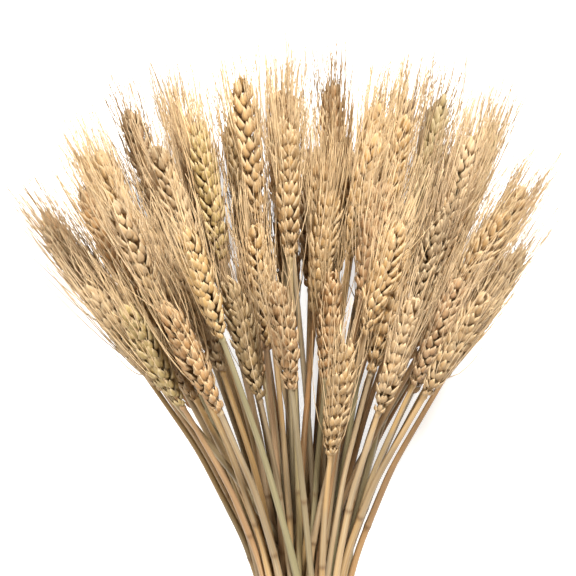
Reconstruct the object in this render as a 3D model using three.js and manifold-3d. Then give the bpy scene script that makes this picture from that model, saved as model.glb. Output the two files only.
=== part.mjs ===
// A bundle of dried bearded wheat, lying on a surface: stalks cut to one length and tied with
// twine, that fan out from the tie into a dome of ears with long awns.
// Millimetres. +X is to the right and +Y runs from the cut ends to the ears, as the bundle is
// seen from above; +Z is up. The origin is at the bottom centre of the bundle's box.

import * as THREE from "three";
import { mergeVertices } from "three/addons/utils/BufferGeometryUtils.js";
import Module from "manifold-3d";

const wasm = await Module();
wasm.setup();

// ---- Driving dimensions ----

const HANDLE_LENGTH = 112; // from the tie to the cut ends
const TRIM_SLACK = 5; // how unevenly the ends are cut
const TIE_RADIUS = 24.2; // inside the twine
const TIE_HEIGHT = 26.4; // the tie's centre above the surface
const STEM_RADIUS = 2.05; // at the tie
const NECK_RADIUS = 1.6; // where the stem meets the ear
const EAR_LENGTH = 64;
const EAR_LENGTH_SLACK = 6;
const EAR_RADII = [4.6, 6.8, 4.4]; // from the rachis to a spikelet's tip: foot, middle, tip
const SEAM_SHARE = 0.78; // the ear's half depth, at the seam between its rows, as a share
const HOLLOW_SHARE = 0.49; // from the rachis to the hollow between two spikelets of a row
const SPIKELETS = 11; // in two alternating rows
const SPIKELET_RISE = 3.1; // how far a spikelet's tip stands above its place on the rachis
const AWN_RADIUS = 0.45;
const AWN_LENGTH_MOST = 66;
const AWN_PAST_EAR = 24; // how far the awns' ends stand past the ear's tip
const AWN_PAST_SLACK = 8;
const AWNS = 7; // on each ear
const AWN_OUT_SHARE = 0.65; // where an awn is rooted, as shares of the ear's half width there
const AWN_SEAM_SHARE = 0.09;
const AWN_ROOT_RISE = 1.8; // over its spikelet's place on the rachis
const TWINE_RADIUS = 1.4;
const TWINE_TURNS = 4;
const TWINE_SEGMENTS = 22; // round the bundle
const CLEARANCE = 0.17; // that each stalk keeps round itself

// The tiers of the fan, from the one that rises most to the one that lies on the surface. rise
// is an ear's angle above the surface as seen from the tie, lean its angle to the right of +Y,
// in degrees, and reach how far its foot is from the tie. A tier lists its stalks as
// [lean, reach], and spreads a count of further ones over its fan between two leans.
const TIERS = [
  { rise: 37, stalks: [[-24, 128], [-13, 126], [-5, 136], [9, 95], [20, 122], [28, 150]] },
  { rise: 36, stalks: [[-17, 170], [13, 164]] },
  { rise: 31, stalks: [[-30, 134], [-24, 172], [-18, 140], [-7, 148], [-2, 192], [4, 128]] },
  { rise: 31, stalks: [[9, 174], [15, 136], [19, 172], [25, 140], [26, 186]] },
  { rise: 25, stalks: [[-33, 150], [-29, 126], [-13, 184], [-7, 203]] },
  { rise: 25, stalks: [[2, 156], [10, 136], [11, 186], [20, 196], [31, 146]] },
  { rise: 24, count: 10, between: [-32, 29] },
  { rise: 18, count: 13, between: [-36, 30] },
  { rise: 12, count: 11, between: [-36, 32] },
  { rise: 5, count: 11, between: [-37, 32] },
  { rise: -6, count: 11, between: [-37, 32], lying: true },
];
// The furthest reach of a spread stalk, from the left of the fan to its right, and how much
// nearer than that they are in turn.
const OUTER_REACHES = [170, 182, 192, 194, 195, 192, 196, 186, 152];
const NEARER = [0, 46, 14, 64, 5, 30];
const REACH_SLACK = 7;
const LEAN_SLACK = 1.2;
const RISE_SLACK = 2;
const FAN_LEAN = 37; // the furthest lean, which starts at the side of the tie
const AWN_LEAN = 38.5; // which no awn ends beyond
const AWN_LEAN_LOSS = 0.022; // of that for each millimetre of height
const EAR_LEAN_SHARE = 0.93; // ears turn back a little to the middle of the fan
const FAN_RISES = [-6, 38];
const START_SHARE = 0.45; // of its lean and rise with which a stem leaves the tie

const SEED = 16;
const SIDES = 4; // of a stalk: an ear's two rows and the two seams between them
const STEM_SHARES = [0.17, 0.54, 1]; // where a stem's rings are between tie and ear
const SETTLE_ROUNDS = 300;
const AWN_TRIES = 30;

// ---- Small helpers ----

const radians = THREE.MathUtils.degToRad;
const vector = (x, y, z) => new THREE.Vector3(x, y, z);

// Repeatable random numbers: one from 0 to 1, and one from -size to size.
let randomState = SEED;
function random() {
  randomState = (randomState + 0x6d2b79f5) | 0;
  let mixed = Math.imul(randomState ^ (randomState >>> 15), 1 | randomState);
  mixed = (mixed + Math.imul(mixed ^ (mixed >>> 7), 61 | mixed)) ^ mixed;
  return ((mixed ^ (mixed >>> 14)) >>> 0) / 4294967296;
}
const slack = (size) => (2 * random() - 1) * size;

// The value at a share from 0 to 1 of a list of evenly spaced values.
function along(values, share) {
  const place = Math.min(0.999999, Math.max(0, share)) * (values.length - 1);
  const i = Math.floor(place);
  return THREE.MathUtils.lerp(values[i], values[i + 1], place - i);
}

// A three.js geometry as a solid that can be joined and cut.
function solidOf(geometry) {
  const bare = geometry.clone();
  bare.deleteAttribute("normal");
  bare.deleteAttribute("uv");
  const merged = mergeVertices(bare, 1e-4);
  const corners = merged.index.array;
  const kept = [];
  for (let i = 0; i < corners.length; i += 3) {
    const [a, b, c] = corners.subarray(i, i + 3);
    if (a !== b && b !== c && c !== a) kept.push(a, b, c);
  }
  const solid = new wasm.Manifold(
    new wasm.Mesh({
      numProp: 3,
      vertProperties: new Float32Array(merged.attributes.position.array),
      triVerts: new Uint32Array(kept),
    }),
  );
  return solid;
}

function geometryOf(solid) {
  const made = solid.getMesh();
  const geometry = new THREE.BufferGeometry();
  geometry.setAttribute("position", new THREE.BufferAttribute(made.vertProperties, 3));
  geometry.setIndex(new THREE.BufferAttribute(made.triVerts, 1));
  const flat = geometry.toNonIndexed();
  flat.computeVertexNormals();
  return flat;
}

// Where segments a-b and c-d are nearest, as shares s and t of their lengths.
function nearest(a, b, c, d) {
  const ab = b.clone().sub(a);
  const cd = d.clone().sub(c);
  const ca = a.clone().sub(c);
  const clamp = (share) => Math.min(1, Math.max(0, share));
  const across = ab.dot(cd);
  const spread = ab.dot(ab) * cd.dot(cd) - across ** 2;
  let s = spread > 1e-9 ? clamp((across * cd.dot(ca) - ab.dot(ca) * cd.dot(cd)) / spread) : 0;
  const t = clamp((across * s + cd.dot(ca)) / cd.dot(cd));
  s = clamp((across * t - ab.dot(ca)) / ab.dot(ab));
  const apart = a.clone().addScaledVector(ab, s).sub(c.clone().addScaledVector(cd, t));
  return { s, t, apart, gap: apart.length() };
}

// Whether segments a-b and c-d can come within a distance of each other.
function near(a, b, c, d, distance) {
  return ["x", "y", "z"].every(
    (axis) =>
      Math.min(a[axis], b[axis]) < Math.max(c[axis], d[axis]) + distance &&
      Math.min(c[axis], d[axis]) < Math.max(a[axis], b[axis]) + distance,
  );
}

// ---- The stalks' lines ----

// A stalk's line runs through knots: its cut end, the tie, the stem's rings, of which the last
// is the ear's foot, and the ear's middle and tip.
const AT_TIE = 1;
const AT_EAR = AT_TIE + STEM_SHARES.length;
const AT_TIP = AT_EAR + EAR_RADII.length - 1;

const knotRadius = (knot) => (knot < AT_EAR ? STEM_RADIUS : EAR_RADII[knot - AT_EAR]);

function wayOf(lean, rise) {
  const level = Math.cos(radians(rise));
  return vector(Math.sin(radians(lean)) * level, Math.cos(radians(lean)) * level, Math.sin(radians(rise)));
}

function newStalk(lean, rise, reach, lying) {
  const middleRise = (FAN_RISES[0] + FAN_RISES[1]) / 2;
  const tie = vector(lean / FAN_LEAN, 0, (rise - middleRise) / (FAN_RISES[1] - middleRise));
  tie.multiplyScalar(21).add(vector(0, 0, TIE_HEIGHT));
  const way = wayOf(lean, rise);
  const foot = way.clone().multiplyScalar(reach).add(vector(0, 0, TIE_HEIGHT));
  const start = wayOf(lean * START_SHARE, rise * START_SHARE).multiplyScalar(reach / 3);
  const end = foot.clone().addScaledVector(way, -reach / 3);
  const stem = new THREE.CubicBezierCurve3(tie, tie.clone().add(start), end, foot);
  const ear = EAR_LENGTH + slack(EAR_LENGTH_SLACK);
  const earWay = wayOf(lean * EAR_LEAN_SHARE + slack(2.5), rise + slack(2));
  const knots = [
    vector(tie.x * 1.1, -HANDLE_LENGTH + slack(TRIM_SLACK), TIE_HEIGHT + (tie.z - TIE_HEIGHT) * 1.1),
    tie.clone(),
    ...STEM_SHARES.map((share) => stem.getPoint(share)),
    foot.clone().addScaledVector(way.clone().lerp(earWay, 0.5), ear / 2),
    foot.clone().addScaledVector(earWay, ear),
  ];
  return {
    knots,
    lengths: knots.slice(1).map((knot, i) => knot.distanceTo(knots[i])),
    bends: knots.map((knot, i) => bendAt(knots, i)),
    aim: knots.map((knot) => knot.clone()),
    twist: slack(180),
    lying,
  };
}

// How far a knot stands from the middle of its neighbours.
function bendAt(knots, i) {
  if (i === 0 || i === knots.length - 1) return vector(0, 0, 0);
  return knots[i].clone().sub(knots[i - 1].clone().lerp(knots[i + 1], 0.5));
}

function newStalks() {
  let spread = 0;
  return TIERS.flatMap(({ rise, stalks = [], between, count = 0, lying = false }) => {
    const places = stalks.map((place) => [...place]);
    for (let i = 0; i < count; i++) {
      const lean = THREE.MathUtils.lerp(...between, (i + 0.5) / count);
      const outer = along(OUTER_REACHES, (lean + FAN_LEAN) / (2 * FAN_LEAN));
      places.push([lean, outer - NEARER[spread++ % NEARER.length] + slack(REACH_SLACK)]);
    }
    return places.map(([lean, reach]) =>
      newStalk(lean + slack(LEAN_SLACK), rise + slack(RISE_SLACK), reach, lying),
    );
  });
}

// Pushes apart what meets, while each stem stays as long and as straight as it can. The stalks
// end up packed inside the tie, and lying on each other and on the surface.
function settle(stalks) {
  for (let round = 0; round < SETTLE_ROUNDS; round++) {
    const ease = Math.max(0, 1 - round / (SETTLE_ROUNDS * 0.7));
    if (round < SETTLE_ROUNDS * 0.88) {
      stalks.forEach((stalk) => straighten(stalk, ease));
      for (let i = 0; i < stalks.length; i += 2) pullTogether(stalks[i], stalks[i + 1]);
    }
    stalks.forEach((stalk, i) => stalks.slice(i + 1).forEach((other) => pushApart(stalk, other)));
    stalks.forEach(keepOver);
  }
}

function straighten({ knots, lengths, bends, aim }, ease) {
  for (let k = AT_TIE + 1; k < AT_TIP; k++) {
    const middle = knots[k - 1].clone().lerp(knots[k + 1], 0.5).add(bends[k]);
    knots[k].lerp(middle, 0.15);
  }
  for (const k of [AT_EAR, AT_TIP]) knots[k].lerp(aim[k], 0.06 * ease);
  const pull = 0.02 * ease + 0.002;
  knots[AT_TIE].lerp(vector(0, 0, TIE_HEIGHT), pull);
  knots[0].lerp(vector(0, knots[0].y, TIE_HEIGHT), pull * 0.5);
  for (let k = AT_TIE; k < AT_TIP; k++) {
    const span = knots[k + 1].clone().sub(knots[k]);
    const excess = span.length() - lengths[k];
    span.normalize();
    const held = k === AT_TIE ? 0 : 0.5;
    knots[k].addScaledVector(span, excess * held);
    knots[k + 1].addScaledVector(span, -excess * (1 - held));
  }
}

// Two stalks that share a node lie side by side at the tie.
function pullTogether(stalk, other) {
  const [a, b] = [stalk.knots[AT_TIE], other.knots[AT_TIE]];
  const apart = b.clone().sub(a);
  const excess = apart.length() - 2 * STEM_RADIUS - 2 * CLEARANCE;
  if (excess <= 0) return;
  apart.normalize();
  a.addScaledVector(apart, excess * 0.3);
  b.addScaledVector(apart, -excess * 0.3);
}

function pushApart(stalk, other) {
  for (let i = 0; i < AT_TIP; i++) {
    const [a, b] = stalk.knots.slice(i, i + 2);
    for (let j = 0; j < AT_TIP; j++) {
      const [c, d] = other.knots.slice(j, j + 2);
      if (!near(a, b, c, d, 15)) continue;
      const { s, t, apart, gap } = nearest(a, b, c, d);
      const radius = THREE.MathUtils.lerp(knotRadius(i), knotRadius(i + 1), s);
      const otherRadius = THREE.MathUtils.lerp(knotRadius(j), knotRadius(j + 1), t);
      const overlap = radius + otherRadius + 2 * CLEARANCE - gap;
      if (overlap <= 0 || gap < 1e-6) continue;
      apart.multiplyScalar((overlap * 0.45) / gap);
      a.addScaledVector(apart, 1 - s);
      b.addScaledVector(apart, s);
      c.addScaledVector(apart, t - 1);
      d.addScaledVector(apart, -t);
    }
  }
}

// Keeps a stalk over the surface, inside the twine and, with its knot there, in its plane. The
// ears of the lowest tier come to lie on the surface.
function keepOver({ knots, lying }) {
  knots[AT_TIE].y = 0;
  knots.slice(0, AT_TIE + 1).forEach((knot) => {
    const off = Math.hypot(knot.x, knot.z - TIE_HEIGHT);
    const share = Math.min(1, (TIE_RADIUS - STEM_RADIUS - 0.3) / off);
    knot.set(knot.x * share, knot.y, TIE_HEIGHT + (knot.z - TIE_HEIGHT) * share);
  });
  knots.forEach((knot, k) => {
    const lowest = knotRadius(k) * (k < AT_EAR ? 1 : 0.85);
    if (lying && k > AT_EAR) knot.z = THREE.MathUtils.lerp(knot.z, lowest, 0.25);
    knot.z = Math.max(knot.z, lowest);
  });
}

// ---- The stalks' solids ----

// A stalk's frames run along its line: a place, the way it goes there, the way its ear's rows
// lie to each side, and the way the seams between them face.
function frameOf({ knots, twist }, knot, share) {
  const [from, to] = knots.slice(knot, knot + 2);
  const before = knots[Math.max(0, knot - 1)];
  const after = knots[Math.min(knots.length - 1, knot + 2)];
  const into = to.clone().sub(before).normalize();
  const out = after.clone().sub(from).normalize();
  const way = into.lerp(out, share).normalize();
  const side = vector(1, 0, 0).addScaledVector(way, -way.x).normalize();
  const rows = side.applyAxisAngle(way, radians(twist));
  const seams = rows.clone().cross(way);
  return { place: from.clone().lerp(to, share), way, rows, seams };
}

function frameInEar(stalk, share) {
  const place = Math.min(0.999999, share) * (AT_TIP - AT_EAR);
  return frameOf(stalk, AT_EAR + Math.floor(place), place - Math.floor(place));
}

// A point of a frame: so far along the rows, along the seams and along the stalk.
function pointIn({ place, way, rows, seams }, row, seam, forth) {
  return place.clone().addScaledVector(rows, row).addScaledVector(seams, seam).addScaledVector(way, forth);
}

const spikeletShare = (spikelet) => spikelet / (SPIKELETS + 1);
const spikeletSide = (spikelet) => (spikelet % 2 ? 1 : -1);
const earLengthOf = ({ lengths }) => lengths[AT_EAR] + lengths[AT_EAR + 1];

// A point of the ear's skin, in the plane of its rows or seams. Each spikelet stands out and
// up on its own side, over a hollow on the other side where the next one starts.
function earPoint(stalk, spikelet, row, seam) {
  const towards = row * spikeletSide(spikelet);
  const forth = towards * SPIKELET_RISE;
  const share = spikeletShare(spikelet);
  const radius = along(EAR_RADII, share + forth / earLengthOf(stalk));
  const frame = frameInEar(stalk, share);
  if (seam) return pointIn(frame, -0.15 * radius * spikeletSide(spikelet), seam * SEAM_SHARE * radius, 0);
  return pointIn(frame, row * radius * (towards > 0 ? 1 : HOLLOW_SHARE), 0, forth);
}

// A stem and its ear are one turned shape whose rings are moved onto the stalk's line.
function stalkSolid(stalk) {
  const rings = AT_EAR + 1 + SPIKELETS;
  const outline = Array.from({ length: rings }, (_, ring) => new THREE.Vector2(1, ring));
  outline.unshift(new THREE.Vector2(0, 0));
  outline.push(new THREE.Vector2(0, rings));
  const geometry = new THREE.LatheGeometry(outline, SIDES);
  const points = geometry.attributes.position;
  for (let i = 0; i < points.count; i++) {
    const turn = (Math.floor(i / outline.length) * Math.PI * 2) / SIDES;
    const row = Math.round(Math.sin(turn));
    const seam = Math.round(Math.cos(turn));
    const ring = (i % outline.length) - 1;
    points.setXYZ(i, ...skinPoint(stalk, ring, row, seam).toArray());
  }
  return solidOf(geometry);
}

function skinPoint(stalk, ring, row, seam) {
  if (ring < 0) return stalk.knots[0];
  if (ring > AT_EAR + SPIKELETS) return stalk.knots[AT_TIP];
  if (ring > AT_EAR) return earPoint(stalk, ring - AT_EAR, row, seam);
  const upStem = Math.max(0, ring - AT_TIE) / STEM_SHARES.length;
  const radius = THREE.MathUtils.lerp(STEM_RADIUS, NECK_RADIUS, upStem);
  return pointIn(frameOf(stalk, ring, 0), row * radius, seam * radius, 0);
}

// ---- Awns ----

// Awns are sunk into the upper faces of evenly spaced spikelets. Each leans out past the
// spikelets over it, and to where it meets nothing else of the bundle.
function growAwns(stalks) {
  const grown = [];
  stalks.forEach((stalk) => {
    for (let i = 0; i < AWNS; i++) {
      const spikelet = Math.round(1 + ((i + 0.5) * (SPIKELETS - 1)) / AWNS);
      const awn = clearAwn(stalk, spikelet, i % 2 ? 1 : -1, stalks, grown);
      if (awn) grown.push(awn);
    }
  });
  return grown;
}

function clearAwn(stalk, spikelet, seam, stalks, grown) {
  for (const share of [1, 0.85, 0.7, 0.5]) {
    for (let i = 0; i < AWN_TRIES; i++) {
      const awn = newAwn(stalk, spikelet, seam, share, i / AWN_TRIES);
      if (isClear(awn, stalks, grown)) return awn;
    }
  }
  return null;
}

function newAwn(stalk, spikelet, seam, lengthShare, wildness) {
  const share = spikeletShare(spikelet);
  const radius = along(EAR_RADII, share);
  const frame = frameInEar(stalk, share);
  const side = spikeletSide(spikelet);
  const out = AWN_OUT_SHARE * radius;
  const root = pointIn(frame, side * out, AWN_SEAM_SHARE * radius * seam, AWN_ROOT_RISE);
  const tilt = leastTilt(stalk, spikelet, out) + radians(random() * 4 + wildness * random() * 9);
  const turn = OPEN_TURN + slack(0.35) + wildness * slack(0.6);
  const past = AWN_PAST_EAR + slack(AWN_PAST_SLACK);
  const whole = Math.min(AWN_LENGTH_MOST, earLengthOf(stalk) * (1 - share) + past);
  const lean = Math.tan(tilt);
  const aim = pointIn(frame, side * lean * Math.cos(turn), seam * lean * Math.sin(turn), 1);
  aim.sub(frame.place).normalize();
  return { stalk, root, tip: root.clone().addScaledVector(aim, whole * lengthShare), aim };
}

// Awns turn from the plane of the rows to where the ear's skin is nearest.
const OPEN_TURN = Math.atan(1 / SEAM_SHARE);

// How far an awn tilts from its ear, at the least, to pass the spikelets over it.
function leastTilt(stalk, spikelet, out) {
  let most = radians(3);
  for (let above = spikelet + 2; above <= SPIKELETS; above += 2) {
    const rise = earLengthOf(stalk) * (spikeletShare(above) - spikeletShare(spikelet));
    const inside = along(EAR_RADII, spikeletShare(above)) - out * (1 + AWN_SEAM_SHARE / SEAM_SHARE);
    const room = inside * Math.cos(OPEN_TURN) + AWN_RADIUS + 0.3;
    most = Math.max(most, Math.atan(room / (rise + 1.2)));
  }
  return most;
}

function isClear({ stalk, root, tip, aim }, stalks, grown) {
  const leanMost = radians(AWN_LEAN - AWN_LEAN_LOSS * tip.z);
  if (tip.z < 1 || Math.abs(tip.x) > tip.y * Math.tan(leanMost)) return false;
  const start = root.clone().addScaledVector(aim, 1.5);
  for (const other of stalks) {
    if (other === stalk) continue;
    for (let k = AT_TIE; k < AT_TIP; k++) {
      const [c, d] = other.knots.slice(k, k + 2);
      if (!near(start, tip, c, d, 8)) continue;
      const { s, t, gap } = nearest(start, tip, c, d);
      const skin = THREE.MathUtils.lerp(knotRadius(k), knotRadius(k + 1), t);
      if (gap < skin + AWN_RADIUS * (1 - s) + 0.25) return false;
    }
  }
  return grown.every((other) => {
    if (!near(start, tip, other.root, other.tip, 1.5)) return true;
    const { s, t, gap } = nearest(start, tip, other.root, other.tip);
    return gap > AWN_RADIUS * (2 - s - t) + 0.25;
  });
}

function awnSolid({ root, tip, aim }) {
  const length = root.distanceTo(tip);
  const cone = new THREE.ConeGeometry(AWN_RADIUS, length, 3, 1);
  cone.translate(0, length / 2, 0);
  cone.applyQuaternion(new THREE.Quaternion().setFromUnitVectors(vector(0, 1, 0), aim));
  cone.translate(...root.toArray());
  return solidOf(cone);
}

// ---- The tie ----

// Twine wound in close turns just below the place where the stems fan out.
function tieSolid() {
  const inner = TIE_RADIUS / Math.cos(Math.PI / TWINE_SEGMENTS);
  const width = TWINE_RADIUS * 2 * TWINE_TURNS;
  const outline = [new THREE.Vector2(inner, 0)];
  for (let turn = 0; turn < TWINE_TURNS; turn++) {
    const start = turn * TWINE_RADIUS * 2;
    const groove = turn ? 1.2 : 0.5;
    outline.push(new THREE.Vector2(inner + TWINE_RADIUS * groove, start + 0.05));
    outline.push(new THREE.Vector2(inner + TWINE_RADIUS * 2, start + TWINE_RADIUS));
  }
  outline.push(new THREE.Vector2(inner + TWINE_RADIUS * 0.5, width));
  outline.push(new THREE.Vector2(inner, width), new THREE.Vector2(inner, 0));
  const band = new THREE.LatheGeometry(outline, TWINE_SEGMENTS);
  band.rotateY(Math.PI / TWINE_SEGMENTS);
  band.translate(0, -width - 0.5, TIE_HEIGHT);
  return solidOf(band);
}

// ---- The bundle ----

const bundle = new THREE.Group();
bundle.name = "wheat_bundle";

function addNode(name, solid, colour) {
  const material = new THREE.MeshStandardMaterial({ color: colour, roughness: 0.8 });
  const mesh = new THREE.Mesh(geometryOf(solid), material);
  mesh.name = name;
  bundle.add(mesh);
}

const stalks = newStalks();
settle(stalks);
const awns = growAwns(stalks);

// A stalk's solid with its awns, cut flat where it lies on the surface.
function grownSolid(stalk) {
  const own = awns.filter((awn) => awn.stalk === stalk).map(awnSolid);
  return wasm.Manifold.union([stalkSolid(stalk), ...own]).trimByPlane([0, 0, 1], 0);
}

// Where two stalks of a node lie side by side under the tie, a short bridge holds them.
function bridgeSolid(stalk, other) {
  const [a, b] = [stalk, other].map(({ knots }) => knots[AT_TIE].clone().lerp(knots[0], 0.05));
  const apart = b.clone().sub(a);
  const bridge = new THREE.CylinderGeometry(0.9, 0.9, apart.length() - 1.2, 3, 1);
  bridge.applyQuaternion(new THREE.Quaternion().setFromUnitVectors(vector(0, 1, 0), apart.normalize()));
  bridge.translate(...a.lerp(b, 0.5).toArray());
  return solidOf(bridge);
}

const nodes = [];
for (let i = 0; i < stalks.length; i += 2) {
  const pair = [stalks[i], stalks[i + 1]];
  nodes.push(wasm.Manifold.union([...pair.map(grownSolid), bridgeSolid(...pair)]));
}
nodes.push(tieSolid().trimByPlane([0, 0, 1], 0));

const whole = wasm.Manifold.union(nodes).boundingBox();
const centre = [-(whole.min[0] + whole.max[0]) / 2, -(whole.min[1] + whole.max[1]) / 2, 0];
nodes.forEach((solid, i) => {
  const isTie = i === nodes.length - 1;
  const name = isTie ? "twine_tie" : `stalks_${String(i + 1).padStart(2, "0")}`;
  addNode(name, solid.translate(centre), isTie ? 0xa58a5c : 0xd0ac74);
});

export default bundle;
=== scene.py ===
"""A tied bundle of dried bearded wheat that lies on a table.

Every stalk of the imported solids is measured, and a finer stalk is grown in its place: a hollow
straw with its joints, an ear of overlapping husks, and its awns. The tie is wound of twine.
"""

import math
import random

import bmesh
import bpy
import numpy as np
from mathutils import Matrix, Vector


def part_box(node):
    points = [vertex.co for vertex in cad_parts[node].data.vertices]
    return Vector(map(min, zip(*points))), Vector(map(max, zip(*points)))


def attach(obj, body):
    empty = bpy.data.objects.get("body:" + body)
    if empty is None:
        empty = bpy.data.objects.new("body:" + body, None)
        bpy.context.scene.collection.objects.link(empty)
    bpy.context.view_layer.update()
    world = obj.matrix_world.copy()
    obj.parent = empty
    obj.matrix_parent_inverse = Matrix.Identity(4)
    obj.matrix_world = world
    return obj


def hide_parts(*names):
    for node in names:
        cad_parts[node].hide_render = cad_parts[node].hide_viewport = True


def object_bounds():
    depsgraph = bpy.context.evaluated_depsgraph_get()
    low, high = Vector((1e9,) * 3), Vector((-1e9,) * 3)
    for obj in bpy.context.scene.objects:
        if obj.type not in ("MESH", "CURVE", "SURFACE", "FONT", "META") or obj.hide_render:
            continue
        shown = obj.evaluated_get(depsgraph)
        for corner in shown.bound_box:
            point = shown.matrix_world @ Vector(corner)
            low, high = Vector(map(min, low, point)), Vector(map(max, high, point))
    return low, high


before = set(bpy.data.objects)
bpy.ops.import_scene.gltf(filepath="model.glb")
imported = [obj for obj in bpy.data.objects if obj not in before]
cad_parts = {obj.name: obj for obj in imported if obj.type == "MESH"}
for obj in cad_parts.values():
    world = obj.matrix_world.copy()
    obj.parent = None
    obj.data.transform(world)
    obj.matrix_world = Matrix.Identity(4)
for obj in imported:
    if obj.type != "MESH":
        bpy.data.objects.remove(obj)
cad_low, cad_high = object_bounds()

bl_info = {
    "name": "Dried wheat bundle",
    "version": (1, 0, 0),
    "blender": (4, 5, 0),
    "location": "3D View > Sidebar > Wheat",
    "description": "Grows the stalks, the twine and the stage of a bundle of dried wheat",
    "category": "Object",
}

MM = 0.001
TIE = "twine_tie"
STALK_NODES = sorted(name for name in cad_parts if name.startswith("stalks_"))
TIE_LOW, TIE_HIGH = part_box(TIE)
STALK_SEED = 400
TWINE_SEED = 90


# ---- Sizes and colours that a user would change ----


class StrawSettings(bpy.types.PropertyGroup):
    """The straws, from their cut ends to the ears."""

    tie_radius: bpy.props.FloatProperty(
        name="Radius at the tie", description="Radius of a straw where the twine holds it",
        default=1.8 * MM, unit="LENGTH", subtype="DISTANCE")
    neck_radius: bpy.props.FloatProperty(
        name="Radius at the ear", description="Radius of a straw just under its ear",
        default=1.22 * MM, unit="LENGTH", subtype="DISTANCE")
    knee_share: bpy.props.FloatProperty(
        name="Joints", description="Share of the straws that show a joint above the tie",
        default=0.7, subtype="FACTOR", min=0, max=1)
    golden: bpy.props.FloatVectorProperty(
        name="Golden straw", description="Colour of a ripe straw",
        default=(0.45, 0.285, 0.12), subtype="COLOR", min=0, max=1)
    grey: bpy.props.FloatVectorProperty(
        name="Grey straw", description="Colour of a weathered straw",
        default=(0.33, 0.265, 0.175), subtype="COLOR", min=0, max=1)


class EarSettings(bpy.types.PropertyGroup):
    """The ears and their husks."""

    spikelets: bpy.props.IntProperty(
        name="Spikelets", description="Spikelets of an ear, both of its sides together",
        default=20, min=12, max=26)
    half_width: bpy.props.FloatProperty(
        name="Half width", description="From an ear's middle to the tips of its husks",
        default=6.7 * MM, unit="LENGTH", subtype="DISTANCE")
    husk_length: bpy.props.FloatProperty(
        name="Husk length", description="Length of the longest husks",
        default=10.6 * MM, unit="LENGTH", subtype="DISTANCE")
    golden: bpy.props.FloatVectorProperty(
        name="Golden husks", description="Colour of the warmest husks",
        default=(0.455, 0.275, 0.102), subtype="COLOR", min=0, max=1)
    cream: bpy.props.FloatVectorProperty(
        name="Cream husks", description="Colour of the palest husks",
        default=(0.375, 0.282, 0.178), subtype="COLOR", min=0, max=1)
    edges: bpy.props.FloatVectorProperty(
        name="Papery edges", description="Colour of the thin edges of the husks",
        default=(0.58, 0.455, 0.28), subtype="COLOR", min=0, max=1)


class AwnSettings(bpy.types.PropertyGroup):
    """The awns that stand out of the husks."""

    longest: bpy.props.FloatProperty(
        name="Longest", description="Length of the longest awns",
        default=66 * MM, unit="LENGTH", subtype="DISTANCE")
    past_ear: bpy.props.FloatProperty(
        name="Past the ear", description="How far most awns reach past the tip of their ear",
        default=24 * MM, unit="LENGTH", subtype="DISTANCE")
    radius: bpy.props.FloatProperty(
        name="Radius", description="Radius of an awn at its root",
        default=0.27 * MM, unit="LENGTH", subtype="DISTANCE")
    pale: bpy.props.FloatVectorProperty(
        name="Awns", description="Colour of the awns",
        default=(0.76, 0.575, 0.33), subtype="COLOR", min=0, max=1)


class TwineSettings(bpy.types.PropertyGroup):
    """The twine that ties the bundle."""

    turns: bpy.props.IntProperty(
        name="Turns", description="Turns of twine round the stems", default=4, min=2, max=6)
    fibre: bpy.props.FloatVectorProperty(
        name="Twine", description="Colour of the twine",
        default=(0.34, 0.23, 0.11), subtype="COLOR", min=0, max=1)


class StageSettings(bpy.types.PropertyGroup):
    """The floor, the lights and the camera."""

    camera_height: bpy.props.FloatProperty(
        name="Camera height", description="Height of the camera over the floor",
        default=1.0, unit="LENGTH", subtype="DISTANCE")
    light: bpy.props.FloatProperty(
        name="Light", description="Power of the main light", default=66, unit="POWER")
    floor: bpy.props.FloatVectorProperty(
        name="Floor", description="Colour of the floor",
        default=(0.82, 0.82, 0.815), subtype="COLOR", min=0, max=1)


# ---- Vectors ----


def within(value, low, high):
    return min(high, max(low, value))


def unit(vector):
    return vector / np.linalg.norm(vector)


def units(vectors):
    """The rows of an array of vectors, each at a length of 1."""
    return vectors / np.linalg.norm(vectors, axis=1)[:, None]


def square_to(way):
    """The two directions square to a way, the first of them as near to +X as can be."""
    side = unit(np.array([1.0, 0, 0]) - way * way[0])
    return side, np.cross(way, side)


def along_line(line):
    """How far along a line each of its points lies."""
    steps = np.linalg.norm(np.diff(line, axis=0), axis=1)
    return np.concatenate([[0], np.cumsum(steps)])


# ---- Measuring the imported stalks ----

STATION_STEP = 2.5 * MM  # from one cut across a solid to the next
STALK_OUTLINE_LEAST = 3.6 * MM  # a shorter outline is an awn's
FOLLOW_REACH = 4.5 * MM  # how far from straight on a stalk's next outline may lie
OVER_TIE, UNDER_TIE = 1.2 * MM, 1.5 * MM  # where a node's two stalks are told apart
END_REACH, END_ASIDE = 6 * MM, 2.4 * MM  # from the last outline to the corners of the cut end
NECK_GROWTH = 1.3  # an ear begins where the outline has grown by this
FOOT_UNDER_GROWTH = 1.0 * MM
TIP_SHARPNESS = 0.985  # how nearly the edges that meet in an awn's tip point one way
AWN_LEAST, AWN_ASIDE = 8 * MM, 7.5 * MM  # an awn's length, and how far it may pass its ear's line
ROW_SHARES, ROW_REACH = (0.05, 0.97), 1.1  # where an ear's corners show how its rows lie
APEX_FROM, APEX_TO = 24 * MM, 49 * MM  # the stretch of an ear that points at its tip
APEX_AHEAD = (5 * MM, 23 * MM)  # how far past that stretch the tip lies


def merged_solid(node):
    """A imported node's corner points and faces, with the corners that fall together merged."""
    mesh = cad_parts[node].data
    points = np.array([vertex.co for vertex in mesh.vertices], float)
    faces = np.array([face.vertices[:] for face in mesh.polygons])
    _, first, merged = np.unique(np.round(points, 7), axis=0, return_index=True, return_inverse=True)
    return points[first], merged.reshape(-1)[faces]


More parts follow.
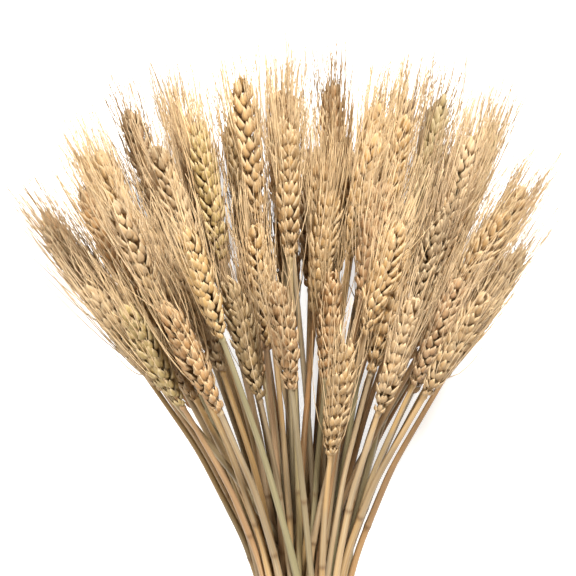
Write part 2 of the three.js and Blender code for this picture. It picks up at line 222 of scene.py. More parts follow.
def outlines_at(points, faces, y):
    """The centre and length of each outline in which a solid is cut across at y."""
    above = points[:, 1] > y
    count = above[faces].sum(axis=1)
    home, cuts, parts = {}, {}, []

    def root_of(key):
        while home[key] != key:
            key = home[key]
        return key

    for face in faces[(count > 0) & (count < 3)]:
        ends = []
        for a, b in ((face[0], face[1]), (face[1], face[2]), (face[2], face[0])):
            if above[a] != above[b]:
                key = (a, b) if a < b else (b, a)
                if key not in cuts:
                    low, high = points[key[0]], points[key[1]]
                    cuts[key] = low + (high - low) * (y - low[1]) / (high[1] - low[1])
                    home[key] = key
                ends.append(key)
        home[root_of(ends[0])] = root_of(ends[1])
        parts.append(ends)
    rings = {}
    for one, other in parts:
        length = float(np.linalg.norm(cuts[one] - cuts[other]))
        ring = rings.setdefault(root_of(one), [np.zeros(3), 0.0])
        ring[0] += (cuts[one] + cuts[other]) / 2 * length
        ring[1] += length
    return [(total / length, length) for total, length in rings.values() if length > 0]


def follow(points, faces, start, y, step):
    """The centres and lengths of one stalk's outlines, from a start on, step by step."""
    found = []
    path = [start - np.array([0, step, 0]), start]
    while True:
        y += step
        back = path[-5:]
        ahead = back[-1] + (back[-1] - back[0]) / (len(back) - 1)
        near = [
            (np.linalg.norm(centre - ahead), centre, length)
            for centre, length in outlines_at(points, faces, y)
            if length > STALK_OUTLINE_LEAST
        ]
        gap, centre, length = min(near, key=lambda item: item[0], default=(FOLLOW_REACH, 0, 0))
        if gap >= FOLLOW_REACH:
            return found
        found.append((centre, length))
        path.append(centre)


def spikes_of(points, faces):
    """The free tips of the awns and the way each one points."""
    ends = {}
    for face in faces:
        for i in range(3):
            ends.setdefault(face[i], set()).update((face[i - 1], face[i - 2]))
    tips = []
    for corner, others in ends.items():
        if len(others) > 4:
            continue
        aim = units(points[corner] - points[list(others)]).mean(axis=0)
        if np.linalg.norm(aim) > TIP_SHARPNESS:
            tips.append((points[corner], unit(aim)))
    return tips


def row_turn(points, line, half_width):
    """How far the rows of an ear are turned about it, from the corners that stand out most."""
    offsets = []
    for point in points:
        share, offset = line.nearest(point)
        if ROW_SHARES[0] < share < ROW_SHARES[1] and np.linalg.norm(offset) < half_width * ROW_REACH:
            side, up = square_to(line.way(share))
            offsets.append((offset @ side, offset @ up))
    offsets = np.array(offsets)
    turns = np.radians(np.arange(0, 180, 3))
    reach = offsets[:, :1] * np.cos(turns) + offsets[:, 1:] * np.sin(turns)
    return float(turns[np.argmax((reach**8).sum(axis=0))])


def apex_over(points, foot, centres):
    """The tip of an ear: the corner straight ahead of the ear's upper part."""
    reach = np.array([np.linalg.norm(centre - foot) for centre in centres])
    lower = centres[int(np.argmax(reach > APEX_FROM))]
    upper = centres[int(np.argmax(reach > APEX_TO))]
    way = unit(upper - lower)
    ahead = (points - upper) @ way
    aside = np.linalg.norm(points - upper - ahead[:, None] * way, axis=1)
    aside[(ahead < APEX_AHEAD[0]) | (ahead > APEX_AHEAD[1])] = 1
    return points[np.argmin(aside)]


class EarLine:
    """A smooth line from the foot to the tip of an ear."""

    def __init__(self, foot, tip, centres):
        self.foot, self.tip = foot, tip
        along = tip - foot
        self.length = float(np.linalg.norm(along))
        self.bow = np.zeros(3)
        weights, aside = [], []
        for centre in centres:
            share = (centre - foot) @ along / (along @ along)
            if 0.1 < share < 0.9:
                weights.append(4 * share * (1 - share))
                aside.append(centre - foot - along * share)
        if weights:
            weights, aside = np.array(weights), np.array(aside)
            self.bow = (aside * weights[:, None]).sum(axis=0) / (weights @ weights)

    def at(self, share):
        return self.foot + (self.tip - self.foot) * share + self.bow * 4 * share * (1 - share)

    def way(self, share):
        return unit(self.tip - self.foot + self.bow * 4 * (1 - 2 * share))

    def nearest(self, point):
        along = self.tip - self.foot
        share = float((point - self.foot) @ along / (along @ along))
        return share, point - self.at(share)


def ear_foot(centres, lengths):
    """The number of the outline where an ear begins, and the foot of the ear."""
    neck = float(np.median(lengths[: len(lengths) // 3]))
    grown = int(np.argmax(lengths > neck * NECK_GROWTH))
    before, after = lengths[grown - 1], lengths[grown]
    share = float(np.clip((neck * NECK_GROWTH - before) / max(after - before, 1e-9), 0, 1))
    foot = centres[grown] + (centres[grown + 1] - centres[grown]) * share
    way = unit(centres[grown] - centres[grown - 3])
    return grown, centres[grown] + way * ((foot - centres[grown]) @ way) - way * FOOT_UNDER_GROWTH


def cut_end(points, faces, start):
    """The middle of a stalk's cut end, under the tie."""
    under = TIE_LOW.y - UNDER_TIE
    outlines = outlines_at(points, faces, under)
    below, _ = min(outlines, key=lambda item: np.linalg.norm(item[0] - start))
    last, _ = follow(points, faces, below, under, -2 * STATION_STEP)[-1]
    ends = points[np.linalg.norm(points - last, axis=1) < END_REACH]
    ends = ends[np.linalg.norm((ends - last)[:, ::2], axis=1) < END_ASIDE]
    fall = (last - below) / (below[1] - last[1])
    return last + fall * (last[1] - ends[:, 1].min())


def give_tips(stalks, tips):
    """Gives each awn's tip to the ear that it points away from, with the share where it grows."""
    for tip, aim in tips:
        near = []
        for stalk in stalks:
            for share in np.linspace(0, 0.95, 20):
                place = stalk["ear"].at(share)
                back = (tip - place) @ aim
                if back > AWN_LEAST:
                    near.append((np.linalg.norm(tip - aim * back - place), share, stalk))
        gap, share, stalk = min(near, key=lambda item: item[0], default=(AWN_ASIDE, 0, None))
        if gap < AWN_ASIDE and (tip - stalk["ear"].foot) @ aim > AWN_LEAST:
            stalk["tips"].append((share, tip))


def measured_stalks(node, half_width):
    """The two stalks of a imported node: the line of the straw, the ear and the awns' tips."""
    points, faces = merged_solid(node)
    over = TIE_HIGH.y + OVER_TIE
    starts = sorted(outlines_at(points, faces, over), key=lambda item: -item[1])[:2]
    if len(starts) < 2:
        raise RuntimeError(node + " doesn't show two stalks over the tie")
    stalks = []
    for start, _ in starts:
        upward = follow(points, faces, start, over, STATION_STEP)
        centres = [start] + [centre for centre, _ in upward]
        grown, foot = ear_foot(centres, np.array([length for _, length in upward]))
        ear = EarLine(foot, apex_over(points, foot, centres[grown:]), centres[grown + 1 :])
        stalks.append({
            "cut": cut_end(points, faces, start), "centres": centres[: grown + 1], "ear": ear,
            "turn": row_turn(points, ear, half_width), "tips": [],
        })
    give_tips(stalks, spikes_of(points, faces))
    return stalks


# ---- Shapes that are repeated ----

HUSK, AWN, STRAW = range(3)  # the order of a stalk's materials
TWINE = 0  # the twine has one material, in a list of its own
KNEE_RINGS = (-2.2, -0.9, 0, 0.9, 2.2)  # round each of a straw's two joints, in mm
RIM_RINGS = (-2.4, -1.2, -0.4, 0.3)  # round the rim at the foot of its ear, in mm
EVEN_RINGS = 62
STRAW_RINGS = EVEN_RINGS + 2 * len(KNEE_RINGS) + len(RIM_RINGS)
STRAW_WALL = 0.3  # of a straw's radius
GLUME_WIDTHS = (0.05, 0.74, 1.04, 1.05, 0.86, 0.48, 0.0)  # from the root to the tip
LEMMA_WIDTHS = (0.05, 0.64, 1.0, 1.12, 0.98, 0.6, 0.03)
AWN_BENDS = ((0, 0.4), (3, -0.6), (5, 0.8), (8, -1.0), (12, 1.4), (-2, 0.6))  # in radii


def shape_of(bm, material):
    """Makes a finished mesh of a shape, of one material and with room for its points' tones."""
    mesh = bpy.data.meshes.new("shape")
    bm.to_mesh(mesh)
    bm.free()
    mesh.polygons.foreach_set("material_index", [material] * len(mesh.polygons))
    mesh.attributes.new("tone", "FLOAT_COLOR", "POINT")
    return mesh


def ringed_tube(segments, rings, top=1):
    """A closed tube with a radius of 1 from 0 to 1 along Z, with that many rings."""
    bm = bmesh.new()
    bmesh.ops.create_cone(bm, cap_ends=True, segments=segments, radius1=1, radius2=top, depth=1)
    upright = [edge for edge in bm.edges if abs(edge.verts[0].co.z - edge.verts[1].co.z) > 0.5]
    bmesh.ops.subdivide_edges(bm, edges=upright, cuts=rings - 2)
    bmesh.ops.translate(bm, verts=bm.verts, vec=(0, 0, 0.5))
    return bm


def husk_shape(widths, keel, bow, beak):
    """A plump pointed husk from 0 to 1 along Z, with its back to +Y and its edges at +-X."""
    bm = bmesh.new()
    rings = len(widths) - 1
    bmesh.ops.create_uvsphere(bm, u_segments=8, v_segments=rings, radius=1)
    fibre = bm.verts.layers.float_vector.new("fibre")
    for vertex in bm.verts:
        x, y, z = vertex.co
        ring = round(math.acos(within(-z, -1, 1)) / math.pi * rings)
        along = ring / rings
        out = max(1e-6, math.hypot(x, y))
        across, back = x / out, y / out
        width = widths[ring]
        if back > 0.9:
            back *= 1 + keel
        depth = back if back > 0 else back * 0.3
        reach = along if ring < rings else 1 + beak
        vertex[fibre] = (across if width else 0, back if width else 0, along)
        arch = bow * (1 - (2 * along - 0.8) ** 2)
        vertex.co = (across * width, depth * width + arch, reach)
    return shape_of(bm, HUSK)


def awn_shape(bow, wave):
    """A bristle that tapers from a radius of 1 along Z, bowed towards +X between its ends."""
    bm = ringed_tube(segments=3, rings=7, top=0.4)
    fibre = bm.verts.layers.float_vector.new("fibre")
    for vertex in bm.verts:
        along = vertex.co.z
        vertex[fibre] = (vertex.co.x, vertex.co.y, along * 3)
        vertex.co.x += bow * 4 * along**0.7 * (1 - along)
        vertex.co.y += wave * math.sin(along * 5)
    return shape_of(bm, AWN)


def straw_shape():
    """A straw with an open lower end: X and Y go round it, and Z counts its rings."""
    bm = ringed_tube(segments=9, rings=STRAW_RINGS)
    lower = [face for face in bm.faces if all(v.co.z < 1e-6 for v in face.verts)]
    bmesh.ops.inset_region(bm, faces=lower, thickness=STRAW_WALL)
    inner = bmesh.ops.extrude_face_region(bm, geom=lower)["geom"]
    inner = [part for part in inner if isinstance(part, bmesh.types.BMVert)]
    bmesh.ops.translate(bm, verts=inner, vec=(0, 0, 0.05))
    bmesh.ops.recalc_face_normals(bm, faces=bm.faces)
    bm.verts.layers.float_vector.new("fibre")
    return shape_of(bm, STRAW)


def stalk_shapes():
    """The shapes that every stalk repeats: the two kinds of husk, the straw and the awns."""
    return {
        "glume": husk_shape(GLUME_WIDTHS, keel=0.35, bow=0.5, beak=0.1),
        "lemma": husk_shape(LEMMA_WIDTHS, keel=0.22, bow=0.62, beak=0.08),
        "straw": straw_shape(),
        "awns": [awn_shape(bow, wave) for bow, wave in AWN_BENDS],
    }


def add_copy(bm, shape, matrix, tone):
    """Adds a moved copy of a shape to a mesh, in its own tone."""
    copy = shape.copy()
    copy.transform(matrix)
    copy.attributes["tone"].data.foreach_set("color", tuple(tone) * len(copy.vertices))
    bm.from_mesh(copy)
    bpy.data.meshes.remove(copy)


def axes(x, y, z, origin):
    """The matrix that takes X, Y and Z to these directions and sizes, from an origin."""
    return Matrix((*zip(x, y, z, origin), (0, 0, 0, 1)))


# ---- Straws ----

RACHIS_SHARES = (0.05, 0.25, 0.5, 0.75, 0.92)  # where the straw goes on inside its ear
RACHIS_RADIUS = 0.6  # of the neck's
LOW_KNEE = (12, 55)  # the first joint, over the cut end, in mm
HIGH_KNEE, TIE_KNEE = (14, 58), (5, 30)  # the second, over the tie or hidden under it, in mm
KNEE_SWELL, KNEE_LENGTH = 0.16, 1.5 * MM
SHEATH, SHEATH_SWELL = (25, 60), 1.07  # a dry leaf's foot round the straw, in mm, and its radius
RIM_SWELL, RIM_LENGTH, RIM_UNDER = 0.35, 1.0 * MM, 0.5 * MM
PALE_NECK = 40 * MM
WAY_STEP = 2 * MM
FIBRE_LENGTH = 20 * MM


def smoothed(points, rounds):
    """A line of points with its corners eased and its ends kept."""
    points = np.array(points)
    for _ in range(rounds):
        points[1:-1] = (points[:-2] + 2 * points[1:-1] + points[2:]) / 4
    return points


def on_line(line, reach, stations):
    """The points at these distances along a line."""
    return np.stack([np.interp(stations, reach, line[:, i]) for i in range(3)], axis=1)


def add_straw(bm, shape, stalk, sizes, tone, chance):
    """Adds a stalk's straw, with two joints, a leaf's sheath and a rim at the foot of its ear."""
    upper = smoothed(stalk["centres"] + [stalk["ear"].foot], 14)
    rachis = [stalk["ear"].at(share) for share in RACHIS_SHARES]
    line = np.vstack([stalk["cut"], (stalk["cut"] + upper[0]) / 2, upper, rachis])
    reach = along_line(line)
    whole, at_tie, at_foot = reach[-1], reach[2], reach[-1 - len(rachis)]
    knees = [chance.uniform(*LOW_KNEE) * MM]
    if chance.random() < sizes.knee_share:
        knees.append(at_tie + chance.uniform(*HIGH_KNEE) * MM)
    else:
        knees.append(at_tie - chance.uniform(*TIE_KNEE) * MM)
    sheath = knees[-1] + chance.uniform(*SHEATH) * MM

    stations = list(np.linspace(0, whole, EVEN_RINGS))
    stations += [knee + offset * MM for knee in knees for offset in KNEE_RINGS]
    stations += [at_foot + offset * MM for offset in RIM_RINGS]
    stations = np.clip(np.sort(stations), 0, whole)
    thick, thin = sizes.tie_radius, sizes.neck_radius
    radii = np.interp(stations, [0, at_tie, at_foot, whole], [thick, thick, thin, thin * RACHIS_RADIUS])
    radii *= tone["girth"]
    radii[(stations > knees[-1]) & (stations < sheath)] *= SHEATH_SWELL
    joints = np.zeros(len(stations))
    for knee in knees:
        near = np.exp(-(((stations - knee) / KNEE_LENGTH) ** 2))
        radii *= 1 + KNEE_SWELL * near
        joints = np.maximum(joints, near)
    radii *= 1 + RIM_SWELL * np.exp(-(((stations - at_foot + RIM_UNDER) / RIM_LENGTH) ** 2))

    copy = shape.copy()
    count = len(copy.vertices)
    place = np.zeros(count * 3)
    copy.vertices.foreach_get("co", place)
    place = place.reshape(-1, 3)
    rings = np.arange(len(stations))
    ring = np.clip(place[:, 2], 0, 1) * (len(stations) - 1)
    station = np.interp(ring, rings, stations)
    radius = np.interp(ring, rings, radii)[:, None]
    way = units(on_line(line, reach, station + WAY_STEP) - on_line(line, reach, station - WAY_STEP))
    side = units(np.array([1.0, 0, 0]) - way * way[:, :1])
    flat = 1 + 0.05 * math.sin(tone["seed"] * 40)
    sideways = side * (place[:, :1] * radius * flat)
    upwards = np.cross(way, side) * (place[:, 1:2] * radius / flat)
    copy.vertices.foreach_set("co", (on_line(line, reach, station) + sideways + upwards).ravel())
    fibre = np.column_stack([place[:, 0], place[:, 1], station / FIBRE_LENGTH])
    copy.attributes["fibre"].data.foreach_set("vector", fibre.ravel())

    sheathed = np.interp(station, [knees[-1] - MM, knees[-1], sheath, sheath + MM], [0, 1, 1, 0])
    pale = np.interp(station, [at_foot - PALE_NECK, at_foot], [0, 1])
    # The tone's light carries the stalk's painted shade by height and depth in the bundle.
    light = tone["light"] + 0.25 * pale - 0.1 * sheathed
    # Painted shade: the inside of the hollow straw is painted darker.
    light[np.hypot(place[:, 0], place[:, 1]) < 1 - STRAW_WALL / 2] -= 0.5
    warm = tone["straw_warm"] * (1 - 0.55 * sheathed)
    brown = np.interp(ring, rings, joints)
    colours = np.column_stack([light, warm, np.full(count, tone["seed"]), brown])
    copy.attributes["tone"].data.foreach_set("color", colours.ravel())
    bm.from_mesh(copy)
    bpy.data.meshes.remove(copy)


# ---- Ears ----

# The husks of a spikelet: which shape; how far its root lies to a side and outwards, as shares
# of the half width; how far it leans outwards and turns to a side, in degrees; how far up it
# starts, in mm; and its length and width, as shares. The filler in the middle has no awn.
HUSK_PAIRS = (
    ("glume", 0.20, 0.13, 29, 76, 0.2, 0.80, 0.43),
    ("lemma", 0.15, 0.16, 27, 48, 1.0, 0.98, 0.42),
    ("lemma", 0.06, 0.19, 25, 20, 2.0, 0.94, 0.39),
)
FILLER = ("lemma", 0.0, 0.08, 13, 0, 3.0, 0.92, 0.47)
HUSKS = [(kind, side * off, *rest) for kind, off, *rest in HUSK_PAIRS for side in (-1, 1)] + [FILLER]
HUSK_HALF_WIDTH, HUSK_DEPTH = 0.42, 0.72
AWN_ROOT = 0.93  # how far up its husk an awn starts
FIRST_SPIKELET, SPIKELET_SPAN = 0.015, 0.93  # as shares of the ear
EAR_SWELL = ((0, 0.1, 0.3, 0.55, 0.8, 1), (0.30, 0.58, 0.91, 1, 0.86, 0.5))
EARS_HEIGHT = 130 * MM  # of the highest ears over the floor
LOW_EAR = 75 * MM
BROKEN_SHARE = 0.06  # of the awns
AWN_SLACK, AWN_FLOOR = 2.5 * MM, 0.6 * MM


def ear_frame(stalk, share):
    """Where an ear's line is at a share, its way, and the ways its rows and seams lie."""
    ear = stalk["ear"]
    way = ear.way(share)
    side, up = square_to(way)
    rows = side * math.cos(stalk["turn"]) + up * math.sin(stalk["turn"])
    return ear.at(share), way, rows, np.cross(way, rows)


def add_ear(bm, shapes, stalk, sizes, awns, tone, chance):
    """Adds an ear: spikelets of husks in two rows, each with awns from its larger husks."""
    spikelets = sizes.spikelets + chance.choice((-2, -1, 0, 0, 1, 2))
    roots = []
    for i in range(spikelets):
        share = FIRST_SPIKELET + SPIKELET_SPAN * i / spikelets
        place, way, row, seam = ear_frame(stalk, share)
        row = row * (1 if i % 2 else -1)
        swell = float(np.interp(share, *EAR_SWELL)) * tone["plump"]
        width = sizes.half_width * swell
        length = sizes.husk_length * (0.35 + 0.65 * swell) * chance.uniform(0.94, 1.06)
        last = i == spikelets - 1
        upright = 0.3 if last else float(np.interp(share, (0.7, 1), (1, 0.6)))
        for number, (kind, to_side, forth, tilt, splay, start, long, wide) in enumerate(HUSKS):
            out, edge = row, seam
            if last:
                out, edge = (seam if number % 2 else -seam), row
            lean = math.radians(tilt * upright + chance.gauss(0, 5.2))
            turn = math.radians(splay + chance.gauss(0, 9)) * (1 if to_side >= 0 else -1)
            aside = out * math.cos(turn) + edge * math.sin(turn)
            aim = way * math.cos(lean) + aside * math.sin(lean)
            back = unit(aside - aim * (aside @ aim))
            across = np.cross(back, aim)
            base = place + out * (forth * width) + edge * (to_side * width) + way * (start * MM * swell)
            half = wide * length * HUSK_HALF_WIDTH
            husk = length * long * chance.uniform(0.86, 1.1)
            # A husk's tone carries its stalk's painted shade in its light and in its russet.
            own = (tone["light"] + chance.gauss(0, 0.07), tone["warm"] + chance.gauss(0, 0.07),
                   chance.random(), 0.5 + 0.5 * tone["green"] - 0.5 * tone["russet"])
            matrix = axes(across * half, back * half * HUSK_DEPTH, aim * husk, base)
            add_copy(bm, shapes[kind], matrix, own)
            if kind == "lemma" and to_side:
                towards = edge if to_side > 0 else -edge
                outer = abs(to_side) > 0.1
                roots.append((share, base + aim * husk * AWN_ROOT, aim, out, towards, outer))
    add_awns(bm, shapes["awns"], stalk, roots, awns, tone, chance)


def add_awns(bm, shapes, stalk, roots, sizes, tone, chance):
    """Adds the awns of an ear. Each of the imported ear's awns has one that ends where it does."""
    ear = stalk["ear"]
    height = ear.at(0.5)[2]
    # Painted shade: the awns of a lower ear are painted darker, those of a higher ear lighter.
    light = tone["light"] + 0.35 * (height / EARS_HEIGHT - 0.7)
    fewer = 0.2 if height < LOW_EAR else 0
    wanted = {}
    for share, tip in stalk["tips"]:
        free = [i for i in range(len(roots)) if i not in wanted]
        near = min(free, key=lambda i: abs(roots[i][0] + 0.06 - share) + 6 * miss(roots[i], tip))
        wanted[near] = tip
    for i, (_, root, aim, _, _, outer) in enumerate(roots):
        if i in wanted:
            end = wanted[i]
        elif chance.random() < (0.3 if outer else 0.6) - fewer:
            continue
        else:
            end = free_end(ear, roots[i], sizes, chance)
        along = end - root
        long = np.linalg.norm(along)
        along /= long
        side = unit(aim - along * (aim @ along))
        spin = chance.gauss(0, 0.7)
        x = side * math.cos(spin) + np.cross(along, side) * math.sin(spin)
        radius = sizes.radius * chance.uniform(0.8, 1.15)
        own = (light + chance.gauss(0, 0.2), tone["warm"] + chance.gauss(0, 0.15), chance.random(), 0)
        matrix = axes(x * radius, np.cross(along, x) * radius, along * long, root)
        add_copy(bm, chance.choice(shapes), matrix, own)


def miss(root, tip):
    """How far, as an angle, a packed awn's tip lies from where a husk points."""
    _, place, aim, _, _, outer = root
    return math.acos(within(float(unit(tip - place) @ aim), -1, 1)) + (0 if outer else 0.2)


def free_end(ear, root, sizes, chance):
    """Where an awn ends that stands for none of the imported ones."""
    share, place, _, out, seam, outer = root
    way = ear.way(min(1, share + 0.1))
    lean = math.radians(max(1.2, chance.gauss(5.2, 2.8)))
    turn = within(chance.gauss(1.3 if outer else 0.6, 0.5), -0.6, 2.1)
    aside = out * math.cos(turn) + seam * math.sin(turn)
    past = sizes.past_ear + chance.gauss(0, 6 * MM)
    rest = ear.length * (1 - share) - 8 * MM
    long = min(sizes.longest, rest + past) * chance.uniform(0.86, 1.04)
    if chance.random() < BROKEN_SHARE:
        long *= chance.uniform(0.3, 0.7)
    heading = way * math.cos(lean) + aside * math.sin(lean)
    return kept_inside(place, place + heading * long)


def kept_inside(root, end):
    """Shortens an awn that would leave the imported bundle's box, or lifts it off the surface."""
    for i, (low, high) in enumerate(zip((cad_low[0], cad_low[1], AWN_FLOOR), cad_high)):
        slack = AWN_SLACK if i < 2 or end[2] > 50 * MM else 0
        if end[i] > high + slack:
            end = root + (end - root) * (high + slack - root[i]) / (end[i] - root[i])
        if end[i] < low - slack:
            if i == 2:
                end = end.copy()
                end[2] = low + abs(end[0]) * 0.004
            else:
                end = root + (end - root) * (low - slack - root[i]) / (end[i] - root[i])
    return end


# ---- Twine ----

TWINE_STEPS = 1000
TUCK_TURN, TUCK_DEPTH = 0.06, 3.2 * MM  # of the twine's two ends
PLIES = 3
PLY_TWIST = 7 * MM
PLY_OFF, PLY_RADIUS, PLY_FLOOR = 0.47, 0.54, 0.55  # of the twine's radius
FUZZ = 420  # loose fibres
FUZZ_RADIUS = 0.06 * MM
FUZZ_CLEAR = 20  # steps at each end of the twine


def tube_along(line, radius, segments):
    """A closed tube of a radius along a line of points, with its fibres running along it."""
    rings = len(line)
    bm = ringed_tube(segments, rings)
    fibre = bm.verts.layers.float_vector.new("fibre")
    ways = units(np.gradient(line, axis=0))
    for vertex in bm.verts:
        ring = round(vertex.co.z * (rings - 1))
        way = Vector(ways[ring])
        side = Vector((0, 1, 0)) - way * way.y
        side.normalize()
        up = way.cross(side)
        vertex[fibre] = (vertex.co.x, vertex.co.y, ring * 0.05)
        vertex.co = Vector(line[ring]) + (side * vertex.co.x + up * vertex.co.y) * radius
    bmesh.ops.recalc_face_normals(bm, faces=bm.faces)
    return shape_of(bm, TWINE)


def twine_line(turns, twine_radius):
    """The middle of the twine, wound in close turns, its ends tucked in, flat on the surface."""
    middle = (TIE_LOW + TIE_HIGH) / 2
    outer = (TIE_HIGH.x - TIE_LOW.x) / 2
    centre_z = TIE_HIGH.z - outer
    turn = np.linspace(0, turns, TWINE_STEPS)
    around = turn * math.tau + 0.6
    tuck = np.clip(1 - np.minimum(turn, turns - turn) / TUCK_TURN, 0, 1)
    reach = outer - twine_radius - TUCK_DEPTH * tuck**2
    low, high = TIE_LOW.y + twine_radius, TIE_HIGH.y - twine_radius
    return np.column_stack([
        middle.x + reach * np.cos(around),
        low + (high - low) * turn / turns,
        np.maximum(centre_z + reach * np.sin(around), twine_radius * 1.02),
    ])


def add_twine(bm, sizes, chance):
    """Adds the twine's twisted plies and the loose fibres that stand out of it."""
    radius = (TIE_HIGH.y - TIE_LOW.y) / sizes.turns / 2 * 1.02
    line = twine_line(sizes.turns, radius)
    reach = along_line(line)
    way = units(np.gradient(line, axis=0))
    side = units(np.array([0, 1.0, 0]) - way * way[:, 1:2])
    up = np.cross(way, side)
    for ply in range(PLIES):
        turn = (reach / PLY_TWIST + ply / PLIES) * math.tau
        off = side * np.cos(turn)[:, None] + up * np.sin(turn)[:, None]
        place = line + off * radius * PLY_OFF
        place[:, 2] = np.maximum(place[:, 2], radius * PLY_FLOOR)
        tube = tube_along(place, radius * PLY_RADIUS, 6)
        add_copy(bm, tube, Matrix.Identity(4), (0.5 + 0.06 * ply, 0.5, ply / 3, 0))
    bristle = awn_shape(*AWN_BENDS[0])
    for _ in range(FUZZ):
        i = chance.randrange(FUZZ_CLEAR, TWINE_STEPS - FUZZ_CLEAR)
        turn = chance.uniform(0, math.tau)
        out = side[i] * math.cos(turn) + up[i] * math.sin(turn)
        root = line[i] + out * radius * 0.75
        aim = unit(out * 0.7 + way[i] * chance.choice((-1, 1)) * chance.uniform(0.3, 1.6))
        long = chance.uniform(1.5, 4.5) * MM
        if (root + aim * long)[2] < 0.3 * MM:
            continue
        x = unit(np.cross(aim, side[i] + up[i] * 0.3))
        own = (0.7 + chance.gauss(0, 0.1), 0.5, chance.random(), 0)
        matrix = axes(x * FUZZ_RADIUS, np.cross(aim, x) * FUZZ_RADIUS, aim * long, root)
        add_copy(bm, bristle, matrix, own)


# ---- Materials ----

# The colours that shade the ones a user sets.
HUSK_DEEP, HUSK_FOOT_SHADE = (0.24, 0.12, 0.04), (0.22, 0.115, 0.04)
HUSK_GREEN, HUSK_RUSSET_AND_SHADE = (0.29, 0.29, 0.11), (0.36, 0.165, 0.065)
AWN_COOL, AWN_DEEP = (0.60, 0.465, 0.31), (0.34, 0.20, 0.07)
AWN_ROOT_SHADE, AWN_TIP = (0.38, 0.22, 0.08), (0.34, 0.215, 0.10)
STRAW_DEEP, STRAW_PALE = (0.16, 0.09, 0.04), (0.52, 0.41, 0.25)
STRAW_GREEN, STRAW_RUSSET, STRAW_JOINT = (0.21, 0.20, 0.10), (0.33, 0.165, 0.07), (0.15, 0.08, 0.035)
TWINE_COOL, TWINE_DEEP = (0.32, 0.25, 0.16), (0.13, 0.07, 0.03)
# A low tone is partly painted shade, so its colour is painted darker and browner.
DARKEST, LIGHTEST = (0.34, 0.27, 0.19), 1.3  # what a tone of 0 and of 1 multiplies a colour by


def new_group(name, inputs, outputs):
    """An empty shader group with its sockets, and its input and output nodes."""
    group = bpy.data.node_groups.new(name, "ShaderNodeTree")
    for way, sockets in (("INPUT", inputs), ("OUTPUT", outputs)):
        for label, kind in sockets.items():
            group.interface.new_socket(label, in_out=way, socket_type="NodeSocket" + kind)
    return group, group.nodes.new("NodeGroupInput"), group.nodes.new("NodeGroupOutput")


def feed(tree, target, value):
    """Links a socket, or sets it where the value is a number or a colour."""
    if isinstance(value, bpy.types.NodeSocket):
        tree.links.new(value, target)
    elif target.type == "RGBA":
        target.default_value = (*value[:3], 1)
    else:
        target.default_value = value


def worked_out(tree, kind, *values, maths="Math"):
    """The result of a kind of sum with numbers, or with vectors where maths is VectorMath."""
    node = tree.nodes.new("ShaderNode" + maths)
    node.operation = kind
    for socket, value in zip(node.inputs, values):
        feed(tree, socket, value)
    return node.outputs[0]


def spread(tree, value, low, high, to_low, to_high):
    """A value mapped from one range onto another, and kept inside it."""
    node = tree.nodes.new("ShaderNodeMapRange")
    for socket, part in zip(node.inputs, (value, low, high, to_low, to_high)):
        feed(tree, socket, part)
    return node.outputs[0]


def mixed(tree, share, first, second, kind="MIX"):
    """Two colours mixed by a share."""
    node = tree.nodes.new("ShaderNodeMix")
    node.data_type = "RGBA"
    node.blend_type = kind
    node.clamp_factor = True
    feed(tree, node.inputs["Factor"], share)
    for label, colour in (("A", first), ("B", second)):
        feed(tree, [s for s in node.inputs if s.name == label and s.type == "RGBA"][0], colour)
    return [s for s in node.outputs if s.type == "RGBA"][0]


def noise(tree, vector, detail):
    node = tree.nodes.new("ShaderNodeTexNoise")
    node.inputs["Scale"].default_value = 1
    node.inputs["Detail"].default_value = detail
    feed(tree, node.inputs["Vector"], vector)
    return node.outputs[0]


def parts_of(tree, kind, value):
    """The three parts of a colour (kind Color) or of a vector (kind XYZ)."""
    node = tree.nodes.new("ShaderNodeSeparate" + kind)
    feed(tree, node.inputs[0], value)
    return node.outputs


def fibre_group(name):
    """The streaks of dried plant fibre: fine along a piece, and different on every piece."""
    group, given, out = new_group(
        name, {"Fibre": "Vector", "Tone": "Color", "Across": "Float", "Along": "Float"},
        {"Streak": "Float", "Patches": "Float"})
    stretch = group.nodes.new("ShaderNodeCombineXYZ")
    for socket, label in zip(stretch.inputs, ("Across", "Across", "Along")):
        feed(group, socket, given.outputs[label])
    long = worked_out(group, "MULTIPLY", given.outputs["Fibre"], stretch.outputs[0], maths="VectorMath")
    apart = worked_out(group, "MULTIPLY", parts_of(group, "Color", given.outputs["Tone"])[2], 53.0)
    own = worked_out(group, "ADD", long, apart, maths="VectorMath")
    feed(group, out.inputs["Streak"], spread(group, noise(group, own, 3), 0.33, 0.67, 0, 1))
    wide = worked_out(group, "MULTIPLY", own, (0.35, 0.35, 0.6), maths="VectorMath")
    feed(group, out.inputs["Patches"], spread(group, noise(group, wide, 2), 0.35, 0.65, 0, 1))
    return group


def tone_group(name):
    """The colour of a dried piece, from its tone, which holds its own lightness and warmth and its
    painted shade, and from its streaks and its patches.
    """
    group, given, out = new_group(
        name, {"Tone": "Color", "Streak": "Float", "Patches": "Float", "Cool": "Color", "Warm": "Color",
               "Deep": "Color"},
        {"Color": "Color"})
    light, warm, _ = parts_of(group, "Color", given.outputs["Tone"])
    patch = spread(group, given.outputs["Patches"], 0, 1, -0.22, 0.22)
    warmth = worked_out(group, "ADD", warm, patch)
    colour = mixed(group, warmth, given.outputs["Cool"], given.outputs["Warm"])
    dark = spread(group, given.outputs["Streak"], 0, 1, 0.26, 0)
    colour = mixed(group, dark, colour, given.outputs["Deep"])
    # The tone's light multiplies the colour: the piece's own lightness together with its painted shade.
    shade = group.nodes.new("ShaderNodeCombineColor")
    for socket, darkest in zip(shade.inputs[:3], DARKEST):
        feed(group, socket, spread(group, light, 0, 1, darkest, LIGHTEST))
    feed(group, out.inputs["Color"], mixed(group, 1.0, colour, shade.outputs[0], "MULTIPLY"))
    return group


